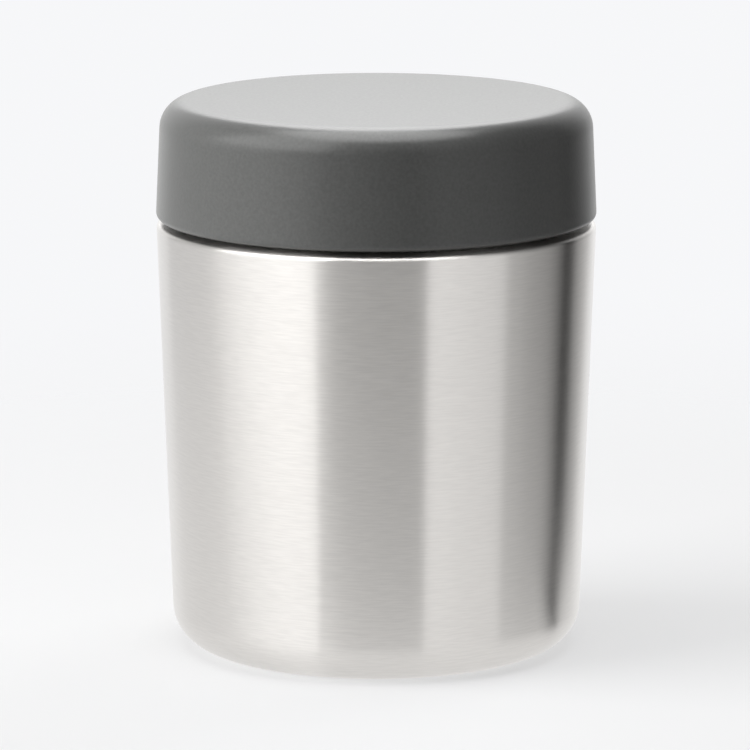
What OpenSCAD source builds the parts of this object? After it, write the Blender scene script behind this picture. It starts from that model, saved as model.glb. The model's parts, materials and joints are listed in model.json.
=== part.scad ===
// Insulated food jar: a double-wall vacuum vessel of drawn steel, a screw lid and an
// insulated stopper that swivels in the lid and carries a vent valve.
// The origin is the middle of the foot, on the table. +Z is up. Sizes are in millimetres.
// Every piece but the getter clip, the snap ring's gap and the ribs is turned about Z, so
// its section is drawn as [radius, height] points and spun by lathe().

/* [Outer shell] */
// Diameter where the wall would meet the shoulder in a sharp corner
shell_d = 90.9; // [86:0.1:96]
// Height of the shoulder above the table
shoulder_h = 88.65; // [75:0.05:120]
// Radius lost between the shoulder and the table
shell_taper = 3.3; // [2:0.05:4]
// Thickness of the outer steel sheet
shell_wall = 0.6; // [0.5:0.05:0.8]
// Outside radius of the bend between wall and shoulder
shoulder_round = 0.9; // [0.9:0.1:1.6]
// Radius of the hollow bend between shoulder and neck
neck_bend = 1.0; // [0.6:0.1:1.4]
// Outside radius of the bend between wall and foot
foot_round = 8.5; // [7:0.1:9.5]
// Width of the flat ring that stands on the table
foot_ring_w = 1.6; // [1:0.1:2.5]
// Outside radius of the bend between foot ring and turned-up edge
foot_edge_round = 0.9; // [0.8:0.05:1.2]

/* [Inner vessel] */
// Thickness of the inner steel sheet
vessel_wall = 0.5; // [0.4:0.05:0.7]
// Vacuum space between the two necks
neck_gap = 0.7; // [0.5:0.05:1]
// Thickness of the welded lip that joins both walls
lip_t = 0.8; // [0.7:0.05:1.2]
// Radius on both edges of the lip
lip_round = 0.5; // [0.3:0.05:0.6]
// Radius of the hollow bends above and below the stopper's seat
seat_bend = 1.0; // [0.8:0.05:1.3]
// Radius of the rolled seat that stands into the mouth
seat_roll = 1.4; // [1.2:0.05:1.7]
// Inside corner radius between the vessel's wall and floor
vessel_corner = 10; // [7:0.5:14]
// Rise of the vessel's floor in the middle
vessel_dome = 0.8; // [0.4:0.1:1.2]

/* [Base] */
// Thickness of the welded base plate
base_t = 0.6; // [0.5:0.05:0.8]
// Thickness of the visible base cover
base_cover_t = 0.5; // [0.4:0.05:0.6]
// Depth of the base cover above the table
base_recess = 1.5; // [1:0.1:2]
// Air space between base cover and base plate
base_space = 1.6; // [1.2:0.1:2.2]
// Height of the upturned rim of the base cover
base_rim_h = 1.0; // [0.9:0.05:1.3]
// Outside bend radius of both bottom plates
base_bend = 0.9; // [0.85:0.05:1]
// Vacuum space under the inner vessel's floor
floor_gap = 3.0; // [2.6:0.1:4]
// Diameter of the flat in the evacuation dimple
dimple_d = 6.8; // [6.2:0.1:8]
// Height of the evacuation dimple
dimple_rise = 1.2; // [0.8:0.1:1.5]
// Diameter of the evacuation hole
evac_d = 1.6; // [1.2:0.1:2]
// Diameter of the glass bead that closes the hole
seal_d = 5.8; // [5:0.1:6.1]
// Height of the glass bead's straight edge
seal_edge_h = 0.5; // [0.3:0.05:0.7]
// Bulge of the glass bead below its edge
seal_bulge = 0.9; // [0.5:0.05:1.1]

/* [Shield and getter] */
// Thickness of the foil round the inner vessel
foil_t = 0.2; // [0.15:0.05:0.3]
// Space between foil and inner vessel
foil_gap = 0.3; // [0.2:0.05:0.4]
// Distance that the foil keeps from the seat's bend and from the floor's corner
foil_margin = 1.5; // [0.5:0.5:4]
// Diameter of the getter pellet
getter_d = 8; // [7:0.5:9]
// Thickness of the getter pellet
getter_t = 1.3; // [1:0.1:1.5]
// Distance of the getter's middle from the base plate's edge
getter_inset = 9.4; // [8:0.1:13]
// Width of the clip's strap
clip_w = 3.6; // [3:0.1:5]
// Thickness of the clip's strap
clip_t = 0.3; // [0.2:0.05:0.4]
// Length of each welded foot of the clip
clip_foot = 2; // [1.5:0.1:2.5]

/* [Lid] */
// Height of the lid
lid_h = 24.45; // [22:0.05:30]
// How far the lid stands out past the shell's sharp corner
lid_overhang = 0.1; // [0:0.05:0.5]
// Open gap between shoulder and lid
lid_gap = 1.1; // [0.6:0.05:1.5]
// Radius lost up the lid's side for mould release
lid_draft = 1.1; // [0.4:0.05:1.3]
// Radius of the lid's top edge
lid_top_round = 5.8; // [4:0.1:6.5]
// Radius of the lid's bottom edge
lid_edge_round = 1.3; // [0.6:0.05:1.3]
// Thickness of the lid cover
lid_wall = 2.0; // [2:0.1:2.4]
// Height of the step inside the lid cover that holds the liner
step_h = 1.8; // [1.5:0.1:2.5]
// Width of that step
step_w = 0.6; // [0.4:0.05:0.6]
// How far the liner's foot stays above the lid's bottom edge
liner_recess = 0.2; // [0.1:0.05:0.4]
// Thickness of the foam under the lid's top
lid_foam_t = 3.6; // [3:0.1:4.5]
// Distance of the foam from the side of the lid
lid_foam_margin = 6.5; // [5.5:0.1:9]
// Air gap between liner and lid cover at the top of the lid's side
liner_air = 0.3; // [0.2:0.05:0.5]
// Thickness of the liner's skirt and ceiling
liner_t = 1.6; // [1.4:0.05:1.8]
// Chamfer at the mouth of the liner's skirt
liner_chamfer = 0.6; // [0.3:0.05:0.8]
// Number of ribs under the liner's ceiling
liner_ribs = 8; // [4:1:12]
// Thickness of those ribs
liner_rib_t = 1.2; // [0.8:0.1:1.6]
// Height of those ribs
liner_rib_h = 0.9; // [0.5:0.1:1.1]
// Radial room between neck and liner that the screw threads fill
thread_room = 1.4; // [1.2:0.05:1.6]
// Free height between the lip and the liner's ceiling
lip_clearance = 1.6; // [1.4:0.05:2.2]

/* [Swivel] */
// Diameter of the stopper's hollow stem
stem_d = 14.8; // [13:0.1:17]
// How far the stem's head stands out
head_w = 2.2; // [1.8:0.1:2.6]
// Thickness of the stem's head
head_t = 1.5; // [1.2:0.1:1.8]
// Chamfer on the stem's head
head_chamfer = 0.5; // [0.3:0.1:0.8]
// Radial running clearance between stem and snap ring
swivel_run = 0.08; // [0.05:0.01:0.1]
// End play of the stem's head above the snap ring and under the ceiling
swivel_play = 0.35; // [0.3:0.05:0.5]
// Thickness of the snap ring
ring_t = 1.6; // [1.3:0.1:2]
// Depth of the groove that holds the snap ring
ring_groove = 0.8; // [0.6:0.1:1]
// Width of the gap in the snap ring
ring_gap_w = 3; // [2:0.5:4]
// Thickness of the collar round the snap ring, outside the groove
collar_t = 1.6; // [1.4:0.1:2]
// Height of the collar's edge below the groove
collar_edge_h = 0.7; // [0.6:0.1:1]

/* [Stopper] */
// Radial clearance of the stopper's rim in the mouth
rim_clearance = 0.5; // [0.4:0.05:0.7]
// Radial clearance of the plug inside the rolled seat
plug_clearance = 0.8; // [0.7:0.05:1]
// Free height between collar and stopper deck
deck_gap = 0.5; // [0.4:0.05:0.8]
// Thickness of the stopper's deck
deck_t = 1.6; // [1.3:0.1:1.8]
// Height of the flange that presses on the gasket
flange_h = 2.2; // [2:0.1:2.8]
// Height of the rim above the deck
rim_h = 2.4; // [2:0.1:2.8]
// Width of the rim
rim_w = 1.8; // [1.5:0.1:2.2]
// Thickness of the plug's side wall
plug_wall = 1.5; // [1.3:0.1:1.8]
// Depth of the plug below the seat
plug_depth = 9; // [8:0.1:11]
// Number of ribs on the stopper's deck
deck_ribs = 6; // [4:1:10]
// Thickness of those ribs
deck_rib_t = 1.4; // [1:0.1:2]
// Height of those ribs
deck_rib_h = 1.8; // [1:0.1:1.9]
// Thickness of the stopper's bottom
bottom_t = 1.6; // [1.4:0.1:2]
// Radius of the bottom's lower edge
bottom_round = 1.2; // [0.8:0.1:1.3]
// Height of the ring by which the bottom is welded into the plug
spigot_h = 1.6; // [1.2:0.1:2.2]
// Thickness of that ring and of the ring round the stem
spigot_t = 1.3; // [1:0.1:1.5]
// Clearance of glued and welded joints
joint_gap = 0.1; // [0.05:0.01:0.15]
// Thickness of the silicone gasket
gasket_t = 1.4; // [1.2:0.1:1.8]
// Clearance of the relaxed gasket to the steel
gasket_gap = 0.2; // [0.15:0.01:0.3]
// Radius of the round bead that keeps the gasket on the plug
keeper_r = 0.4; // [0.3:0.05:0.5]

/* [Vent valve] */
// Diameter of the valve's chamber in the stem
chamber_d = 10; // [9:0.1:11]
// Diameter of the valve hole in the stopper's bottom
vent_d = 5.2; // [4.6:0.1:5.6]
// Diameter of the valve's sealing disc
disc_d = 8.8; // [8:0.1:9]
// Thickness of the sealing disc at its edge
disc_t = 0.9; // [0.7:0.1:1.2]
// Bulge of the sealing disc
disc_bulge = 0.8; // [0.4:0.1:1]
// Clearance under the sealing disc
disc_gap = 0.1; // [0.05:0.01:0.15]
// Diameter of the valve's stalk
stalk_d = 3; // [2.6:0.1:3.4]
// Largest diameter of the barb below the hole
barb_d = 6.6; // [6.2:0.1:7.2]
// Height of the barb
barb_h = 1.2; // [1:0.1:1.5]
// Lift of the valve
valve_lift = 1.2; // [0.8:0.1:1.5]
// Distance left between barb and bottom when the valve is up
lift_spare = 0.2; // [0.15:0.05:0.4]

/* [Hidden] */
$fn = 180;
arc_steps = 14;
bury = 0.3; // how deep a rib starts inside the wall that carries it
overcut = 1; // how far a cut starts outside what it cuts

// Levels of the base, from the table up
base_cover_top_z = base_recess + base_cover_t;
base_rim_z = base_recess + base_rim_h;
plate_top_z = base_cover_top_z + base_space + base_t;
vessel_floor_z = plate_top_z + floor_gap + vessel_wall;
dimple_z = plate_top_z + dimple_rise - base_t;

// Levels of the lid, from the shoulder to the top and then down inside
lid_z = shoulder_h + lid_gap;
lid_top_z = lid_z + lid_h;
cover_ceiling_z = lid_top_z - lid_wall;
liner_top_z = cover_ceiling_z - lid_foam_t;
ceiling_z = liner_top_z - liner_t;
lip_z = ceiling_z - lip_clearance;
lip_under_z = lip_z - lip_t;

// Levels of the swivel and the stopper, from the liner's ceiling down
head_z = ceiling_z - swivel_play;
head_under_z = head_z - head_t;
ring_top_z = head_under_z - swivel_play;
ring_z = ring_top_z - ring_t;
collar_z = ring_z - joint_gap - collar_edge_h;
deck_z = collar_z - deck_gap;
deck_under_z = deck_z - deck_t;
rim_z = deck_z + rim_h;
flange_z = deck_z - flange_h;
gasket_z = flange_z - gasket_t;
seat_z = gasket_z - gasket_gap;
bottom_z = seat_z - plug_depth;
bottom_top_z = bottom_z + bottom_t;

// Levels of the valve
disc_z = bottom_top_z + disc_gap;
barb_top_z = bottom_z - valve_lift - lift_spare;
barb_z = barb_top_z - barb_h;

// Radii of the lid, from the outside in, and of the neck that it screws on
shell_r = shell_d / 2;
lid_r = shell_r + lid_overhang;
lid_lean = atan(lid_draft / lid_h);
liner_r = lid_r - lid_wall - lid_draft - liner_air;
liner_bore_r = liner_r - liner_t;
neck_r = liner_bore_r - thread_room;
vessel_r = neck_r - shell_wall - neck_gap;
mouth_r = vessel_r - vessel_wall;
seat_r = mouth_r - seat_bend - seat_roll;

// Radii of the shell's bends, which touch the leaning wall
shell_lean = atan(shell_taper / shoulder_h);
shoulder_bend_r = shell_r - shoulder_round * (1 + sin(shell_lean)) / cos(shell_lean);
foot_bend_r = shell_r - shell_taper - foot_round * (1 - sin(shell_lean)) / cos(shell_lean);
foot_edge_bend_r = foot_bend_r - foot_ring_w;
foot_edge_r = foot_edge_bend_r - foot_edge_round;
plate_r = foot_edge_r - joint_gap;
getter_r = plate_r - getter_inset;

// Radii of the stopper and the swivel
rim_r = mouth_r - rim_clearance;
plug_r = seat_r - plug_clearance;
plug_bore_r = plug_r - plug_wall;
spigot_r = plug_bore_r - joint_gap;
stem_r = stem_d / 2;
stem_ring_r = stem_r + joint_gap;
head_r = stem_r + head_w;
collar_bore_r = head_r + swivel_play;
collar_groove_r = collar_bore_r + ring_groove;
collar_r = collar_groove_r + collar_t;

// Points of an arc round [cr, cz] from angle a0 to angle a1
function arc(cr, cz, rad, a0, a1) = [
    for (i = [0:arc_steps])
        let (a = a0 + (a1 - a0) * i / arc_steps)
        [cr + rad * cos(a), cz + rad * sin(a)]];

// Points of a shallow dome from its edge at radius r to the axis
function dome(r, z, rise) =
    let (ball_r = (r * r + rise * rise) / (2 * abs(rise)))
    [for (i = [0:arc_steps])
        let (q = r * (1 - i / arc_steps))
        [q, z + rise - sign(rise) * (ball_r - sqrt(ball_r * ball_r - q * q))]];

function flip(points) = [for (i = [len(points) - 1:-1:0]) points[i]];

// A turned solid from a closed section
module lathe(points) {
    rotate_extrude() polygon(points);
}

// A turned ring of rectangular section
module ring(r_in, r_out, z0, z1) {
    lathe([[r_in, z0], [r_out, z0], [r_out, z1], [r_in, z1]]);
}

// Flat ribs that run out from the axis between two radii
module ribs(count, thickness, r_in, r_out, z0, z1) {
    for (i = [0:count - 1])
        rotate([0, 0, 360 * i / count])
            translate([r_in, -thickness / 2, z0])
                cube([r_out - r_in, thickness, z1 - z0]);
}

// One face of the outer shell, from the neck's top to the turned-up edge of the foot.
// inset is 0 for the outside and the sheet's thickness for the inside.
function shell_face(inset) = concat(
    [[neck_r - inset, lip_under_z]],
    arc(neck_r + neck_bend, shoulder_h + neck_bend, neck_bend + inset, 180, 270),
    arc(shoulder_bend_r, shoulder_h - shoulder_round, shoulder_round - inset, 90, -shell_lean),
    arc(foot_bend_r, foot_round, foot_round - inset, -shell_lean, -90),
    arc(foot_edge_bend_r, foot_edge_round, foot_edge_round - inset, -90, -180),
    [[foot_edge_r + inset, plate_top_z]]);

module outer_shell() {
    color([0.76, 0.76, 0.77])
        lathe(concat(shell_face(0), flip(shell_face(shell_wall))));
}

// One face of the inner vessel below the lip: the rolled seat, the wall and the floor
function vessel_face(inset) = concat(
    arc(mouth_r - seat_bend, seat_z + seat_bend, seat_bend + inset, 0, -90),
    arc(mouth_r - seat_bend, seat_z - seat_roll, seat_roll - inset, 90, 270),
    arc(mouth_r - seat_bend, seat_z - 2 * seat_roll - seat_bend, seat_bend + inset, 90, 0),
    arc(mouth_r - vessel_corner, vessel_floor_z + vessel_corner, vessel_corner + inset, 0, -90),
    dome(mouth_r - vessel_corner, vessel_floor_z - inset, vessel_dome));

// The lip closes the vacuum space over the neck of the outer shell
module inner_vessel() {
    lip = concat(
        arc(mouth_r + lip_round, lip_z - lip_round, lip_round, 180, 90),
        arc(neck_r - lip_round, lip_z - lip_round, lip_round, 90, 0),
        [[neck_r, lip_under_z], [vessel_r, lip_under_z]]);
    color([0.83, 0.83, 0.84])
        lathe(concat(lip, vessel_face(vessel_wall), flip(vessel_face(0))));
}

// One face of the base plate, from its rim to the hole in the evacuation dimple
function plate_face(inset) = concat(
    [[plate_r - inset, base_rim_z]],
    arc(plate_r - base_bend, plate_top_z - base_bend, base_bend - inset, 0, 90),
    [[dimple_d / 2 + dimple_rise, plate_top_z - inset],
     [dimple_d / 2, plate_top_z + dimple_rise - inset],
     [evac_d / 2, plate_top_z + dimple_rise - inset]]);

module base_plate() {
    color([0.70, 0.70, 0.71])
        lathe(concat(plate_face(0), flip(plate_face(base_t))));
}

// One face of the base cover, a shallow tray that stands under the base plate's rim
function base_cover_face(inset) = concat(
    [[plate_r - inset, base_rim_z]],
    arc(plate_r - base_bend, base_recess + base_bend, base_bend - inset, 0, -90),
    [[0, base_recess + inset]]);

module base_cover() {
    color([0.74, 0.74, 0.75])
        lathe(concat(base_cover_face(0), flip(base_cover_face(base_cover_t))));
}

// Glass bead melted into the evacuation hole
module vacuum_seal() {
    nub_r = evac_d / 2 - joint_gap;
    color([0.30, 0.26, 0.22])
        lathe(concat(
            [[0, dimple_z + base_t / 2],
             [nub_r, dimple_z + base_t / 2],
             [nub_r, dimple_z],
             [seal_d / 2, dimple_z]],
            dome(seal_d / 2, dimple_z - seal_edge_h, -seal_bulge)));
}

module radiation_shield() {
    color([0.86, 0.87, 0.88])
        ring(
            vessel_r + foil_gap,
            vessel_r + foil_gap + foil_t,
            vessel_floor_z + vessel_corner + foil_margin,
            seat_z - 2 * seat_roll - seat_bend - foil_margin);
}

module getter() {
    color([0.35, 0.35, 0.36])
        translate([getter_r, 0, plate_top_z])
            cylinder(d = getter_d, h = getter_t);
}

// Bridge strap over the getter, with a foot welded to the base plate at each end
module getter_clip() {
    bridge_in = getter_d / 2 + joint_gap;
    bridge_out = bridge_in + clip_t;
    top_z = getter_t + joint_gap;
    section = [
        [-bridge_out - clip_foot, 0], [-bridge_in, 0], [-bridge_in, top_z],
        [bridge_in, top_z], [bridge_in, 0], [bridge_out + clip_foot, 0],
        [bridge_out + clip_foot, clip_t], [bridge_out, clip_t],
        [bridge_out, top_z + clip_t], [-bridge_out, top_z + clip_t],
        [-bridge_out, clip_t], [-bridge_out - clip_foot, clip_t]];
    color([0.66, 0.66, 0.68])
        translate([getter_r + clip_w / 2, 0, plate_top_z])
            rotate([90, 0, 90])
                translate([0, 0, -clip_w])
                    linear_extrude(clip_w) polygon(section);
}

// Radius of the lid's leaning side at height z, inset from its outside
function lid_side_r(z, inset) = lid_r - (inset + (z - lid_z) * sin(lid_lean)) / cos(lid_lean);

// The round of the lid's top edge, inset from the outside
function lid_corner(inset) = arc(
    lid_side_r(lid_top_z - lid_top_round, lid_top_round),
    lid_top_z - lid_top_round,
    lid_top_round - inset, lid_lean, 90);

// The cover's foot is thinner, and the liner's flange seats against the step above it
module lid_cover() {
    edge_r = lid_side_r(lid_z + lid_edge_round, lid_edge_round);
    step_z = lid_z + step_h;
    step_r = lid_side_r(step_z, lid_wall);
    color([0.37, 0.38, 0.38])
        lathe(concat(
            arc(edge_r, lid_z + lid_edge_round, lid_edge_round, -90, lid_lean),
            lid_corner(0),
            [[0, lid_top_z], [0, cover_ceiling_z]],
            flip(lid_corner(lid_wall)),
            [[step_r, step_z], [step_r + step_w, step_z], [step_r + step_w, lid_z]]));
}

// Threaded inner cap, welded into the cover, with the swivel collar in its middle
module lid_liner() {
    foot_z = lid_z + liner_recess;
    step_z = lid_z + step_h;
    flange_r = lid_side_r(step_z, lid_wall) + step_w - joint_gap;
    groove_z = ring_z - joint_gap;
    groove_top_z = ring_top_z + joint_gap;
    color([0.45, 0.46, 0.46])
        union() {
            lathe(concat(
                [[liner_bore_r + liner_chamfer, foot_z],
                 [flange_r, foot_z],
                 [flange_r, step_z],
                 [liner_r, step_z]],
                arc(liner_r - liner_t, liner_top_z - liner_t, liner_t, 0, 90),
                [[0, liner_top_z],
                 [0, ceiling_z],
                 [collar_bore_r, ceiling_z],
                 [collar_bore_r, groove_top_z],
                 [collar_groove_r, groove_top_z],
                 [collar_groove_r, groove_z],
                 [collar_bore_r, groove_z],
                 [collar_bore_r, collar_z],
                 [collar_r, collar_z],
                 [collar_r, ceiling_z],
                 [liner_bore_r, ceiling_z],
                 [liner_bore_r, foot_z + liner_chamfer]]));
            ribs(liner_ribs, liner_rib_t, collar_r - bury, liner_bore_r + bury,
                ceiling_z - liner_rib_h, ceiling_z + bury);
        }
}

module lid_foam() {
    color([0.93, 0.93, 0.90])
        translate([0, 0, liner_top_z])
            cylinder(r = lid_r - lid_foam_margin, h = lid_foam_t);
}

// Split ring that snaps into the collar and holds the stem's head
module snap_ring() {
    color([0.88, 0.88, 0.86])
        difference() {
            ring(stem_r + swivel_run, collar_groove_r - joint_gap, ring_z, ring_top_z);
            translate([0, -ring_gap_w / 2, ring_z - overcut])
                cube([collar_r, ring_gap_w, ring_t + 2 * overcut]);
        }
}

// Upper half of the stopper: headed stem, ribbed deck, rim, flange and plug wall in one piece
module stopper_body() {
    rim_in_r = rim_r - rim_w;
    keeper_z = gasket_z - joint_gap - keeper_r;
    color([0.40, 0.41, 0.41])
        union() {
            lathe(concat(
                [[chamber_d / 2, bottom_top_z],
                 [chamber_d / 2, head_z],
                 [head_r - head_chamfer, head_z],
                 [head_r, head_z - head_chamfer],
                 [head_r, head_under_z],
                 [stem_r, head_under_z],
                 [stem_r, deck_z],
                 [rim_in_r, deck_z]],
                arc(rim_r - rim_w / 2, rim_z - rim_w / 2, rim_w / 2, 180, 0),
                [[rim_r, flange_z],
                 [plug_r, flange_z]],
                arc(plug_r, keeper_z, keeper_r, 90, -90),
                [[plug_r, bottom_top_z],
                 [plug_bore_r, bottom_top_z],
                 [plug_bore_r, deck_under_z],
                 [stem_r, deck_under_z],
                 [stem_r, bottom_top_z]]));
            ribs(deck_ribs, deck_rib_t, collar_r + deck_gap, rim_in_r + bury,
                deck_z - bury, deck_z + deck_rib_h);
        }
}

// Lower half of the stopper, with the valve's seat round the vent hole
module stopper_bottom() {
    color([0.40, 0.41, 0.41])
        lathe(concat(
            [[vent_d / 2, bottom_z]],
            arc(plug_r - bottom_round, bottom_z + bottom_round, bottom_round, -90, 0),
            [[plug_r, bottom_top_z],
             [spigot_r, bottom_top_z],
             [spigot_r, bottom_top_z + spigot_h],
             [spigot_r - spigot_t, bottom_top_z + spigot_h],
             [spigot_r - spigot_t, bottom_top_z],
             [stem_ring_r + spigot_t, bottom_top_z],
             [stem_ring_r + spigot_t, bottom_top_z + spigot_h],
             [stem_ring_r, bottom_top_z + spigot_h],
             [stem_ring_r, bottom_top_z],
             [vent_d / 2, bottom_top_z]]));
}

module stopper_foam() {
    color([0.93, 0.93, 0.90])
        ring(
            stem_ring_r + spigot_t + joint_gap,
            spigot_r - spigot_t - joint_gap,
            bottom_top_z,
            deck_under_z);
}

// Silicone ring between flange and seat. Its lower edge follows the seat's hollow bend.
module stopper_gasket() {
    color([0.90, 0.90, 0.88])
        lathe(concat(
            [[plug_r + joint_gap, flange_z],
             [plug_r + joint_gap, gasket_z]],
            arc(mouth_r - seat_bend, seat_z + seat_bend, seat_bend - gasket_gap, -90, 0),
            [[mouth_r - gasket_gap, flange_z]]));
}

// Silicone valve: a disc on the seat, a stalk through the vent hole and a barb below it
module vent_valve() {
    tip_r = stalk_d / 2;
    color([0.90, 0.90, 0.88])
        lathe(concat(
            [[0, barb_z],
             [tip_r, barb_z],
             [barb_d / 2, barb_top_z],
             [stalk_d / 2, barb_top_z],
             [stalk_d / 2, disc_z],
             [disc_d / 2, disc_z]],
            dome(disc_d / 2, disc_z + disc_t, disc_bulge)));
}

outer_shell();
inner_vessel();
base_plate();
base_cover();
vacuum_seal();
radiation_shield();
getter();
getter_clip();
lid_cover();
lid_liner();
lid_foam();
snap_ring();
stopper_body();
stopper_bottom();
stopper_foam();
stopper_gasket();
vent_valve();
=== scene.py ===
import json
import math

import bmesh
import bpy
import numpy as np
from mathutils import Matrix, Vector


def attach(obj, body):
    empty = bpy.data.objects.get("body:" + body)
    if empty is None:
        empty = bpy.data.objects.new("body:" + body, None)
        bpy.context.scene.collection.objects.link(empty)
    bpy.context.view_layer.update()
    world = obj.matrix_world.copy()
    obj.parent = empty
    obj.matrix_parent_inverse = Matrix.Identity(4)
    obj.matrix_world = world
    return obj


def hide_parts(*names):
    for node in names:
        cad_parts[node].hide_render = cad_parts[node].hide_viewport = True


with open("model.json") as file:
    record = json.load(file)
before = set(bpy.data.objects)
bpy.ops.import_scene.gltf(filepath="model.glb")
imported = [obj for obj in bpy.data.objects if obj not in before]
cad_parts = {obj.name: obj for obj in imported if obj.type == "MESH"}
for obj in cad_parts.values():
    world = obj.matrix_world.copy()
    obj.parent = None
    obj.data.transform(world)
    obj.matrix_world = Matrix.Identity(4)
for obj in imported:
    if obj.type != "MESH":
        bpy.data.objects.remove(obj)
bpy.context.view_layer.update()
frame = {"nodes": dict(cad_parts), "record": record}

# The look of the insulated food jar, in metres, in the frame of its construction model.
# -Y faces the camera, and azimuths count from there towards +X.
#
# Round pieces are turned again in finer steps, from the sections of their CAD nodes. The other
# nodes stay as they are, and the screw threads are added. The bands in the steel are reflections
# of studio panels.

MM = 0.001
WHITE = (1, 1, 1, 1)

# ---------------------------------------------------------------- camera

IMAGE_PX = 750              # side of the square picture
CAMERA_DISTANCE = 1.1974    # along the floor, from the jar's axis
CAMERA_HEIGHT = 0.2854
CAMERA_PITCH = 0.189        # radians below the horizon
FOCAL_PX = 5869.0           # focal length in pixels of the picture
SENSOR_MM = 36.0
AXIS_PX = 1.3               # how far right of the picture's middle the jar's axis stands


def make_camera():
    """A long lens that looks down on the lid a little."""
    data = bpy.data.cameras.new("camera")
    data.sensor_width = SENSOR_MM
    data.lens = SENSOR_MM * FOCAL_PX / IMAGE_PX
    data.shift_x = -AXIS_PX / IMAGE_PX
    camera = bpy.data.objects.new("camera", data)
    camera.location = (0, -CAMERA_DISTANCE, CAMERA_HEIGHT)
    camera.rotation_euler = (math.pi / 2 - CAMERA_PITCH, 0, 0)
    bpy.context.scene.collection.objects.link(camera)
    bpy.context.scene.camera = camera


# ---------------------------------------------------------------- turned pieces

TURN_STEPS = 288            # segments round the axis
SAME_POINT = 4e-6           # section points closer than this are one point
INSIDE = 0.9995             # share of the radius at which a finer turning stays in its node's box
SUPPORT = 0.25 * MM         # extra section points this far from a corner keep flats flat
LONG_STRETCH = 4 * SUPPORT  # straight stretches longer than this get them
SMOOTH_ANGLE = math.radians(28)


def link(mesh, name):
    """A new piece with this mesh, in the scene."""
    piece = bpy.data.objects.new(name, mesh)
    bpy.context.scene.collection.objects.link(piece)
    return piece


def smooth_piece(bm, name, body, material):
    """A smoothly shaded piece of the mesh under construction, on its body."""
    mesh = bpy.data.meshes.new(name)
    bm.to_mesh(mesh)
    bm.free()
    mesh.shade_smooth()
    mesh.set_sharp_from_angle(angle=SMOOTH_ANGLE)
    mesh.materials.append(material)
    piece = link(mesh, name)
    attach(piece, body)
    return piece


def section_points(mesh):
    """The turned mesh's (radius, height) points, each once, and every vertex's place among them."""
    points, places, cells = [], [], {}
    for vertex in mesh.vertices:
        r, z = math.hypot(vertex.co.x, vertex.co.y), vertex.co.z
        i, j = round(r / SAME_POINT), round(z / SAME_POINT)
        around = [(k, l) for k in (i - 1, i, i + 1) for l in (j - 1, j, j + 1)]
        near = [cells[cell] for cell in around if cell in cells]
        if not near:
            cells[i, j] = len(points)
            near = [len(points)]
            points.append((r, z))
        places.append(near[0])
    return points, places


def section_of(node):
    """The turned node's section as (radius, height) points in order, and whether it is a loop."""
    mesh = frame["nodes"][node].data
    points, places = section_points(mesh)
    beside = [set() for _ in points]
    for edge in mesh.edges:
        a, b = (places[v] for v in edge.vertices)
        if a != b:
            beside[a].add(b)
            beside[b].add(a)
    ends = [k for k, others in enumerate(beside) if len(others) == 1]
    closed = not ends
    order = [0 if closed else max(ends, key=lambda k: points[k][1])]
    while True:
        onward = [k for k in beside[order[-1]] if k not in order]
        if not onward:
            break
        order.append(onward[0])
    if len(order) != len(points):
        raise ValueError(f"{node}: {len(order)} of {len(points)} section points are in line")
    section = [points[k] for k in order]
    if not closed:              # an open section ends on the axis
        if section[0][0] > SAME_POINT:
            section.insert(0, (0.0, section[0][1]))
        if section[-1][0] > SAME_POINT:
            section.append((0.0, section[-1][1]))
    return section, closed


def supported(section, closed):
    """The same section with extra points near the ends of its long straight stretches."""
    out = []
    count = len(section)
    for i, a in enumerate(section):
        out.append(a)
        if i == count - 1 and not closed:
            break
        b = section[(i + 1) % count]
        length = math.dist(a, b)
        if length > LONG_STRETCH:
            t = SUPPORT / length
            out += [(a[0] + (b[0] - a[0]) * s, a[1] + (b[1] - a[1]) * s) for s in (t, 1 - t)]
    return out


def turned_ring(bm, r, z):
    """A section point's ring round the axis, or its one point on the axis."""
    if r < SAME_POINT:
        return [bm.verts.new((0, 0, z))]
    angles = [math.tau * k / TURN_STEPS for k in range(TURN_STEPS)]
    return [bm.verts.new((r * math.cos(a), r * math.sin(a), z)) for a in angles]


def join_rings(bm, one, two):
    """Faces between a ring and the next one."""
    for k in range(TURN_STEPS):
        n = (k + 1) % TURN_STEPS
        if len(one) == 1:
            bm.faces.new((one[0], two[k], two[n]))
        elif len(two) == 1:
            bm.faces.new((one[n], one[k], two[0]))
        else:
            bm.faces.new((one[n], one[k], two[k], two[n]))


def turned_piece(name, node, body, material):
    """A finely turned copy of a CAD node, which it replaces."""
    section, closed = section_of(node)
    bm = bmesh.new()
    rings = [turned_ring(bm, r * INSIDE, z) for r, z in supported(section, closed)]
    for one, two in zip(rings, rings[1:]):
        join_rings(bm, one, two)
    if closed:
        join_rings(bm, rings[-1], rings[0])
    bmesh.ops.recalc_face_normals(bm, faces=bm.faces)
    piece = smooth_piece(bm, name, body, material)
    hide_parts(node)


# ---------------------------------------------------------------- screw threads

THREAD_STARTS = 3
THREAD_LEAD = 12.0 * MM     # rise in one turn; the screw joint has the same
THREAD_TURNS = 0.62         # of each start
THREAD_DEPTH = 1.0 * MM
THREAD_FOOT = 2.0 * MM      # width of the ridge at its root
THREAD_CREST = 0.7 * MM     # width at its crest
THREAD_SINK = 0.15 * MM     # how deep the ridge's root lies in the wall
THREAD_FADE = 0.06          # turns over which a ridge runs out at each end
THREAD_STUB = 0.02          # share of that run at which the ridge is cut off
THREAD_STEPS = 96           # segments along each start
THREAD_EDGE = math.radians(20)  # edges sharper than this are rounded
THREAD_ROUND = 0.22 * MM    # width of the rounding
THREAD_ROUND_STEPS = 3
NECK_R = 39.15 * MM
BORE_R = 40.55 * MM
NECK_THREAD_Z = 93.6 * MM
LID_THREAD_Z = NECK_THREAD_Z + THREAD_LEAD / THREAD_STARTS / 2      # midway between the neck's


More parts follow.
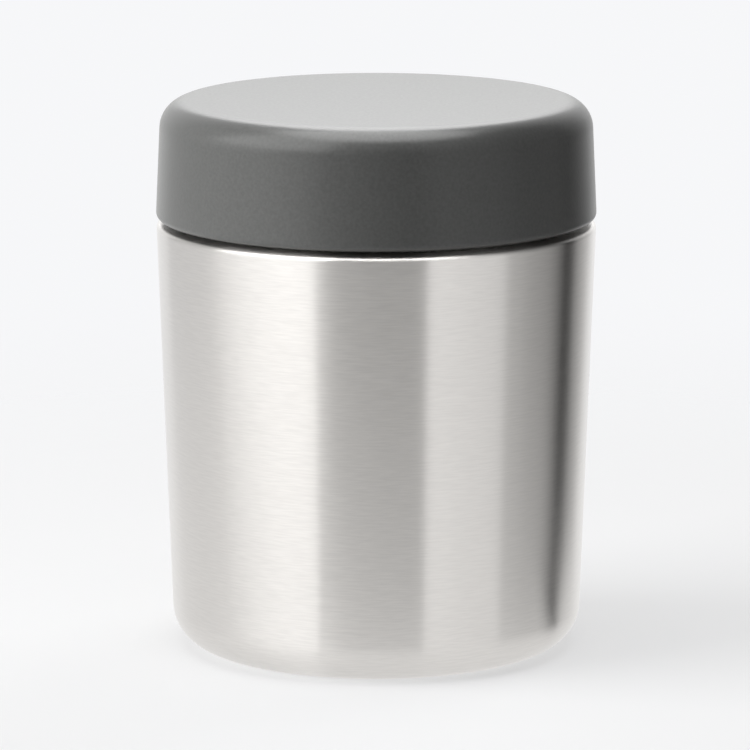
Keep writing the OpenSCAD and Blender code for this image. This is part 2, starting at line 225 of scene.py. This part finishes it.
def ridge_height(turn):
    """How high a ridge stands this many turns from its lower end."""
    run = min(turn, THREAD_TURNS - turn) / THREAD_FADE
    if run >= 1:
        return THREAD_DEPTH
    return THREAD_DEPTH * math.sin(max(run, THREAD_STUB) * math.pi / 2)


def add_ridge(bm, root_r, outward, low_z, first_turn):
    """One helical ridge, with the same four-cornered profile along all of its rows."""
    root, crest = THREAD_FOOT / 2, THREAD_CREST / 2
    rows = []
    for i in range(THREAD_STEPS + 1):
        turn = THREAD_TURNS * (i / THREAD_STEPS)
        a = math.tau * (turn + first_turn)
        root_at = root_r - outward * THREAD_SINK
        crest_at = root_r + outward * ridge_height(turn)
        z = low_z + THREAD_LEAD * turn
        profile = ((root_at, -root), (crest_at, -crest), (crest_at, crest), (root_at, root))
        rows.append([bm.verts.new((r * math.cos(a), r * math.sin(a), z + dz)) for r, dz in profile])
    for one, two in zip(rows, rows[1:]):
        for k in range(len(one)):
            n = (k + 1) % len(one)
            bm.faces.new((one[k], two[k], two[n], one[n]))
    bm.faces.new(rows[0])
    bm.faces.new(rows[-1][::-1])


def thread(name, root_r, outward, low_z, body, material):
    """Helical ridges on a cylinder. outward is 1 on the neck and -1 in the liner's bore."""
    bm = bmesh.new()
    for start in range(THREAD_STARTS):
        add_ridge(bm, root_r, outward, low_z, start / THREAD_STARTS)
    bmesh.ops.recalc_face_normals(bm, faces=bm.faces)
    edges = [e for e in bm.edges
             if len(e.link_faces) == 2 and e.calc_face_angle(0) > THREAD_EDGE]
    bmesh.ops.bevel(bm, geom=edges, offset=THREAD_ROUND, segments=THREAD_ROUND_STEPS,
                    profile=0.5, affect="EDGES")
    smooth_piece(bm, name, body, material)


# ---------------------------------------------------------------- materials

NOISE_RANGE = (0.3, 0.7)    # nearly all of a noise lies between these

BRUSH_CELLS = (230, 230, 3000)      # per metre, so that the brushing is long and level
BRUSH_DETAIL = 1.5
BRUSH_FINENESS = 0.6                # how much of the noise is in its finer octaves
BRUSH_SHADES = (0.958, 1.038)       # shares of the tone in its dark and light lines
BRUSH_ROUGH = 0.018                 # how far the roughness varies to either side
BRUSH_TURN = 0.25                   # turns from the brushing to the way highlights are drawn out

GRAIN_DETAIL = 1.5
GRAIN_FINENESS = 0.5
# painted light and shade of the pebbles: shares of the tone on their dark and light spots
GRAIN_PAINTED_SHADING = (0.92, 1.08)
GRAIN_ROUGH = 0.02
GRAINED_IOR = 1.42


def set_sockets(node, sockets):
    """Constants on a node's inputs. An underscore in a name stands for its space."""
    for key, value in sockets.items():
        node.inputs[key.replace("_", " ")].default_value = value


def add_node(tree, kind, **sockets):
    """A new node with the given constants."""
    node = tree.nodes.new(kind)
    set_sockets(node, sockets)
    return node


def new_material(name, **sockets):
    """A Principled material with the given constants on its own sockets."""
    material = bpy.data.materials.new(name)
    material.use_nodes = True
    principled = material.node_tree.nodes["Principled BSDF"]
    set_sockets(principled, sockets)
    return material, material.node_tree, principled


def noise(tree, cells, detail, fineness):
    """Noise in object space, with so many cells per metre along each axis."""
    place = tree.nodes.new("ShaderNodeTexCoord")
    mapping = add_node(tree, "ShaderNodeMapping", Scale=cells)
    texture = add_node(tree, "ShaderNodeTexNoise", Scale=1.0, Detail=detail, Roughness=fineness)
    tree.links.new(place.outputs["Object"], mapping.inputs["Vector"])
    tree.links.new(mapping.outputs["Vector"], texture.inputs["Vector"])
    return texture.outputs["Fac"]


def tinted(tree, principled, pattern, tone, shades):
    """Base colour that varies with the pattern between two shares of the tone."""
    ramp = tree.nodes.new("ShaderNodeValToRGB")
    for stop, place, shade in zip(ramp.color_ramp.elements, NOISE_RANGE, shades):
        stop.position = place
        stop.color = (*(c * shade for c in tone), 1)
    tree.links.new(pattern, ramp.inputs["Fac"])
    tree.links.new(ramp.outputs["Color"], principled.inputs["Base Color"])


def roughened(tree, principled, pattern, roughness, spread):
    """Roughness that varies with the pattern, by the spread to either side."""
    low, high = NOISE_RANGE
    node = add_node(tree, "ShaderNodeMapRange", From_Min=low, From_Max=high,
                    To_Min=roughness - spread, To_Max=roughness + spread)
    tree.links.new(pattern, node.inputs["Value"])
    tree.links.new(node.outputs["Result"], principled.inputs["Roughness"])


def bumped(tree, principled, pattern, depth):
    """Relief that follows the pattern."""
    bump = add_node(tree, "ShaderNodeBump", Distance=depth)
    tree.links.new(pattern, bump.inputs["Height"])
    tree.links.new(bump.outputs["Normal"], principled.inputs["Normal"])


def turned_steel(name, tone, roughness, anisotropy, depth):
    """Steel brushed round the axis: fine level lines, and highlights drawn out across them."""
    material, tree, principled = new_material(
        name, Metallic=1.0, Roughness=roughness, Anisotropic=anisotropy,
        Anisotropic_Rotation=BRUSH_TURN)
    tangent = tree.nodes.new("ShaderNodeTangent")
    tangent.direction_type = "RADIAL"
    tangent.axis = "Z"
    tree.links.new(tangent.outputs["Tangent"], principled.inputs["Tangent"])
    dashes = noise(tree, BRUSH_CELLS, BRUSH_DETAIL, BRUSH_FINENESS)
    tinted(tree, principled, dashes, tone, BRUSH_SHADES)
    roughened(tree, principled, dashes, roughness, BRUSH_ROUGH)
    bumped(tree, principled, dashes, depth)
    return material


def grained(name, tone, roughness, grain, depth):
    """Plastic, rubber, foam or glass with a fine pebbled grain, and painted light and shade of its
    pebbles in the colour.
    """
    material, tree, principled = new_material(name, Roughness=roughness, IOR=GRAINED_IOR)
    pebbles = noise(tree, (1 / grain,) * 3, GRAIN_DETAIL, GRAIN_FINENESS)
    # the colour carries painted light and shade of the pebbles
    tinted(tree, principled, pebbles, tone, GRAIN_PAINTED_SHADING)
    roughened(tree, principled, pebbles, roughness, GRAIN_ROUGH)
    bumped(tree, principled, pebbles, depth)
    return material


# ---------------------------------------------------------------- backdrop and floor

PALE = (0.925, 0.930, 0.945)            # the backdrop's colour
FILL = 0.18                             # the world's light on matt surfaces
FLOOR_TONE = (0.868, 0.870, 0.876)      # the floor's colour
FLOOR_IN_METAL = 1.0                    # the floor's radiance where reflections show it
FLOOR_PALE = 0.55                       # share of plain colour in the floor, to soften its shadow
FLOOR_R = 0.42
FLOOR_SOLID_R = 0.12                    # from here on the floor fades into the backdrop
FLOOR_CORNERS = 96


def empty_tree(owner, output):
    """The owner's node tree with nothing but an output node in it."""
    owner.use_nodes = True
    tree = owner.node_tree
    tree.nodes.clear()
    return tree, tree.nodes.new(output)


def any_ray(tree, *names):
    """1 where the ray is of one of the named kinds."""
    path = tree.nodes.new("ShaderNodeLightPath")
    found = path.outputs[names[0]]
    for name in names[1:]:
        either = tree.nodes.new("ShaderNodeMath")
        either.operation = "MAXIMUM"
        tree.links.new(found, either.inputs[0])
        tree.links.new(path.outputs[name], either.inputs[1])
        found = either.outputs[0]
    return found


def mixed(tree, factor, first, second):
    """The first shader where the factor is 0 and the second where it is 1."""
    mix = tree.nodes.new("ShaderNodeMixShader")
    tree.links.new(factor, mix.inputs[0])
    tree.links.new(first.outputs[0], mix.inputs[1])
    tree.links.new(second.outputs[0], mix.inputs[2])
    return mix


def make_world():
    """Camera and mirror rays see the pale backdrop. Matt surfaces get a plainer fill light."""
    world = bpy.data.worlds.new("studio")
    bpy.context.scene.world = world
    tree, out = empty_tree(world, "ShaderNodeOutputWorld")
    fill = add_node(tree, "ShaderNodeBackground", Color=WHITE, Strength=FILL)
    pale = add_node(tree, "ShaderNodeBackground", Color=(*PALE, 1), Strength=1.0)
    seen = any_ray(tree, "Is Camera Ray", "Is Glossy Ray", "Is Transmission Ray")
    tree.links.new(mixed(tree, seen, fill, pale).outputs[0], out.inputs["Surface"])


def fading(tree):
    """0 on the solid middle of the floor, and 1 at its rim."""
    place = tree.nodes.new("ShaderNodeTexCoord")
    far = tree.nodes.new("ShaderNodeVectorMath")
    far.operation = "LENGTH"
    fade = add_node(tree, "ShaderNodeMapRange", From_Min=FLOOR_SOLID_R, From_Max=FLOOR_R)
    fade.interpolation_type = "SMOOTHSTEP"
    tree.links.new(place.outputs["Object"], far.inputs[0])
    tree.links.new(far.outputs["Value"], fade.inputs["Value"])
    return fade.outputs["Result"]


def make_floor():
    """A matt floor that keeps the shadow and fades out. Metal mirrors it as white."""
    bpy.ops.mesh.primitive_circle_add(vertices=FLOOR_CORNERS, radius=FLOOR_R, fill_type="NGON")
    floor = bpy.context.object
    floor.name = "floor"
    material = bpy.data.materials.new("floor")
    tree, out = empty_tree(material, "ShaderNodeOutputMaterial")
    matte = add_node(tree, "ShaderNodeBsdfDiffuse", Color=(*FLOOR_TONE, 1))
    pale = add_node(tree, "ShaderNodeEmission", Color=(*FLOOR_TONE, 1), Strength=1.0)
    white = add_node(tree, "ShaderNodeEmission", Color=WHITE, Strength=FLOOR_IN_METAL)
    clear = tree.nodes.new("ShaderNodeBsdfTransparent")
    share = tree.nodes.new("ShaderNodeMath")
    share.operation = "MULTIPLY"
    share.inputs[1].default_value = FLOOR_PALE
    tree.links.new(any_ray(tree, "Is Camera Ray"), share.inputs[0])
    seen = mixed(tree, share.outputs[0], matte, pale)
    solid = mixed(tree, any_ray(tree, "Is Glossy Ray", "Is Transmission Ray"), seen, white)
    tree.links.new(mixed(tree, fading(tree), solid, clear).outputs[0], out.inputs["Surface"])
    floor.data.materials.append(material)


# ---------------------------------------------------------------- panels and lamps

WALL_R = 0.0445             # middle radius of the steel wall
PANEL_STEP = 0.25           # degrees between a curved panel's columns
PANEL_LOW = 0.001           # clear of the floor
PANEL_HIGH = 1.1
PANEL_REACH = 0.5           # how far from the wall a panel stands
NO_FOOT = PANEL_REACH       # the panel ends where it stands
NEAR_WALL = 0.02            # its foot comes forward on the floor as far as this from the wall
UNDER_WALL = -0.008         # its foot comes forward to just under the wall
CEILING_CORNERS = 64
LAMP_DISTANCE = 1.6         # from the middle of the jar
LAMP_AIM_Z = 0.06

# What the steel wall mirrors, from the left of the jar round to its right. A stop is the wall's
# facing in degrees, the panel's radiance, where its foot ends and the radiance at that end.
SURROUND = (
    # pale left edge
    (-104, 1.05, NO_FOOT, 1.0),
    (-72, 0.97, NO_FOOT, 1.0),
    # grey band
    (-68, 0.64, NO_FOOT, 1.0),
    (-59, 0.675, NO_FOOT, 1.0),
    (-52, 0.735, NO_FOOT, 1.0),
    # broad bright band
    (-46, 0.93, UNDER_WALL, 0.98),
    (-39, 1.03, UNDER_WALL, 1.01),
    (-32, 1.13, UNDER_WALL, 1.05),
    (-27, 1.16, UNDER_WALL, 1.07),
    (-23, 1.12, UNDER_WALL, 1.07),
    (-19, 1.07, UNDER_WALL, 1.05),
    (-16.6, 0.98, UNDER_WALL, 1.0),
    # dark band in the middle
    (-15.6, 0.20, NEAR_WALL, 0.64),
    (-11.5, 0.26, NEAR_WALL, 0.83),
    (-7, 0.22, NEAR_WALL, 0.85),
    (0, 0.19, NEAR_WALL, 0.80),
    (6.4, 0.18, NEAR_WALL, 0.775),
    (13.3, 0.18, NEAR_WALL, 0.77),
    # bright band
    (13.7, 0.93, NO_FOOT, 1.0),
    (30, 0.825, NO_FOOT, 1.0),
    (35.3, 0.78, NO_FOOT, 0.9),
    # grey bands
    (37.2, 0.51, NEAR_WALL, 0.79),
    (40.3, 0.47, NEAR_WALL, 0.78),
    (43.9, 0.35, NEAR_WALL, 0.77),
    (47.7, 0.31, NEAR_WALL, 0.74),
    (51.8, 0.29, NEAR_WALL, 0.74),
    # dark line
    (55.0, 0.24, NEAR_WALL, 0.60),
    (57.4, 0.15, NEAR_WALL, 0.30),
    (58.4, 0.0, NEAR_WALL, 0.1),
    (63.0, 0.0, NEAR_WALL, 0.1),
    # pale right edge
    (64.0, 0.21, 0.05, 0.29),
    (72, 0.55, 0.10, 0.67),
    (79, 1.05, NO_FOOT, 1.0),
    (104, 1.05, NO_FOOT, 1.0),
)

# What the lid's top mirrors, from low down to high up: heights and radiances.
BEHIND_LID = (
    (0.15, 1.4), (0.20, 1.55), (0.30, 2.4), (0.405, 3.9), (0.54, 5.8), (0.715, 8.2), (0.92, 10.5))

# What the left half of the lid's side mirrors, in stops like the wall's.
UPPER_LEFT = ((-48, 3.7, NO_FOOT, 0), (-14, 3.7, NO_FOOT, 0))


def only_in_reflections(piece, glows):
    """Lets the piece glow, point by point, where reflections show it and nowhere else."""
    piece.data.attributes.new("glow", "FLOAT", "POINT").data.foreach_set("value", glows)
    material = bpy.data.materials.new(piece.name)
    tree, out = empty_tree(material, "ShaderNodeOutputMaterial")
    glow = tree.nodes.new("ShaderNodeAttribute")
    glow.attribute_name = "glow"
    light = add_node(tree, "ShaderNodeEmission", Color=WHITE)
    tree.links.new(glow.outputs["Fac"], light.inputs["Strength"])
    tree.links.new(light.outputs[0], out.inputs["Surface"])
    piece.data.materials.append(material)
    piece.visible_camera = False
    piece.visible_diffuse = False
    piece.visible_shadow = False
    piece.visible_transmission = False


def glowing_sheet(name, points, faces, glows):
    """A sheet with a radiance at each point."""
    mesh = bpy.data.meshes.new(name)
    mesh.from_pydata(points, [], faces)
    only_in_reflections(link(mesh, name), glows)


def mirrored(facing):
    """The spot with this facing in degrees on the wall, and the level way its reflection comes."""
    a = math.radians(facing)
    spot = Vector((WALL_R * math.sin(a), -WALL_R * math.cos(a)))
    return spot, Vector((math.sin(2 * a), -math.cos(2 * a)))


def panel(name, stops, low=PANEL_LOW, high=PANEL_HIGH, reach=PANEL_REACH):
    """A curved upright panel with a foot on the floor. Each stop gives the facing of the wall where
    it shows in degrees, its radiance, the distance from the wall at which its foot ends, and the
    radiance at that end. Between two stops they change evenly."""
    facings, *curves = zip(*stops)
    points, faces, glows = [], [], []
    count = round((facings[-1] - facings[0]) / PANEL_STEP) + 1
    for i in range(count):
        facing = facings[0] + (facings[-1] - facings[0]) * i / (count - 1)
        glow, foot, foot_glow = (float(np.interp(facing, facings, curve)) for curve in curves)
        spot, way = mirrored(facing)
        # each column has the panel's top and bottom, and the far and near end of its foot
        for far, z in ((reach, high), (reach, low), (reach, low), (min(foot, reach), low)):
            points.append((*(spot + way * far), z))
        glows += [glow, glow, glow, foot_glow]
    for i in range(0, 4 * (count - 1), 4):
        faces += [(i, i + 1, i + 5, i + 4), (i + 2, i + 3, i + 7, i + 6)]
    glowing_sheet(name, points, faces, glows)


def back_panel(name, rows, half_width, reach):
    """A flat upright panel behind the jar. Each row is a height and its radiance."""
    points, glows = [], []
    for z, glow in rows:
        points += [(-half_width, reach, z), (half_width, reach, z)]
        glows += [glow, glow]
    faces = [(i, i + 1, i + 3, i + 2) for i in range(0, 2 * len(rows) - 2, 2)]
    glowing_sheet(name, points, faces, glows)


def ceiling_panel(name, radiance, radius, place):
    """A round panel overhead."""
    bpy.ops.mesh.primitive_circle_add(
        vertices=CEILING_CORNERS, radius=radius, fill_type="NGON", location=place)
    piece = bpy.context.object
    piece.name = name
    only_in_reflections(piece, [radiance] * CEILING_CORNERS)


def softbox(name, azimuth_deg, elevation_deg, width, height, radiance):
    """A rectangular lamp that faces the jar. Reflections show the panels instead of it."""
    a, e = math.radians(azimuth_deg), math.radians(elevation_deg)
    away = Vector((math.sin(a) * math.cos(e), -math.cos(a) * math.cos(e), math.sin(e)))
    data = bpy.data.lights.new(name, "AREA")
    data.shape = "RECTANGLE"
    data.size, data.size_y = width, height
    data.energy = radiance * math.pi * width * height
    lamp = bpy.data.objects.new(name, data)
    lamp.location = away * LAMP_DISTANCE + Vector((0, 0, LAMP_AIM_Z))
    lamp.rotation_mode = "QUATERNION"
    lamp.rotation_quaternion = away.to_track_quat("Z", "Y")
    lamp.visible_glossy = False
    bpy.context.scene.collection.objects.link(lamp)


# ---------------------------------------------------------------- the studio

make_camera()
make_world()
make_floor()

# Azimuth and elevation in degrees, width, height and radiance
softbox("key_left", -77, 11, 1.5, 0.6, 18.0)
softbox("top", 0, 84, 1.4, 1.4, 2.3)
softbox("back_right", 140, 25, 1.0, 1.0, 2.4)

panel("surround", SURROUND)
back_panel("behind_lid", BEHIND_LID, half_width=0.24, reach=0.47)
panel("upper_left", UPPER_LEFT, low=0.25, high=1.15, reach=0.47)
ceiling_panel("ceiling", radiance=6.4, radius=0.74, place=(-0.16, -0.17, 1.15))

# ---------------------------------------------------------------- the jar

# Tone, roughness, anisotropy and depth of the brushing
steel = turned_steel("brushed_shell", (0.711, 0.692, 0.669), 0.30, 1.0, 0.003 * MM)
satin = turned_steel("satin_vessel", (0.66, 0.655, 0.65), 0.36, 0.7, 0.0005 * MM)
pressed = turned_steel("pressed_plate", (0.58, 0.575, 0.57), 0.38, 0.6, 0.0008 * MM)
foil = turned_steel("shield_foil", (0.86, 0.86, 0.87), 0.22, 0.3, 0.002 * MM)

# Tone, roughness, width and depth of the grain
lid_grey = grained("lid_grey", (0.073, 0.074, 0.072), 0.30, 0.62 * MM, 0.012 * MM)
liner_grey = grained("liner_grey", (0.15, 0.153, 0.151), 0.42, 0.5 * MM, 0.01 * MM)
stopper_grey = grained("stopper_grey", (0.13, 0.133, 0.131), 0.42, 0.5 * MM, 0.01 * MM)
ring_white = grained("ring_plastic", (0.70, 0.70, 0.67), 0.40, 0.6 * MM, 0.006 * MM)
silicone = grained("silicone", (0.62, 0.62, 0.59), 0.50, 0.4 * MM, 0.008 * MM)
foam = grained("foam", (0.78, 0.78, 0.74), 0.90, 1.2 * MM, 0.15 * MM)
dark_pellet = grained("getter_metal", (0.11, 0.11, 0.11), 0.70, 0.2 * MM, 0.03 * MM)
glass = grained("seal_glass", (0.10, 0.07, 0.05), 0.12, 1.5 * MM, 0.01 * MM)

record = frame["record"]
BODY_OF = {node: body for body, nodes in record["behaviour"]["bodies"].items() for node in nodes}

# Nodes that a finer turning replaces, with its name and material
TURNED = {
    "outer_shell": ("shell_wall", steel),
    "inner_vessel": ("vessel_wall", satin),
    "base_plate": ("base_plate_pressing", pressed),
    "base_cover": ("base_cover_pressing", pressed),
    "lid_cover": ("lid_shell", lid_grey),
    "stopper_bottom": ("stopper_cap", stopper_grey),
    "stopper_gasket": ("gasket_ring", silicone),
    "vent_valve": ("valve", silicone),
}

# Nodes that stay as they are, with their materials
KEPT = {
    "vacuum_seal": glass,
    "radiation_shield": foil,
    "getter": dark_pellet,
    "getter_clip": pressed,
    "lid_liner": liner_grey,
    "lid_foam": foam,
    "snap_ring": ring_white,
    "stopper_body": stopper_grey,
    "stopper_foam": foam,
}

for node, (name, material) in TURNED.items():
    turned_piece(name, node, BODY_OF[node], material)

for node, material in KEPT.items():
    mesh = frame["nodes"][node].data
    mesh.materials.clear()
    mesh.materials.append(material)

thread("neck_thread", NECK_R, 1, NECK_THREAD_Z, "jar", steel)
thread("lid_thread", BORE_R, -1, LID_THREAD_Z, "lid", liner_grey)

# ---------------------------------------------------------------- end

bpy.context.scene.view_settings.view_transform = "Standard"
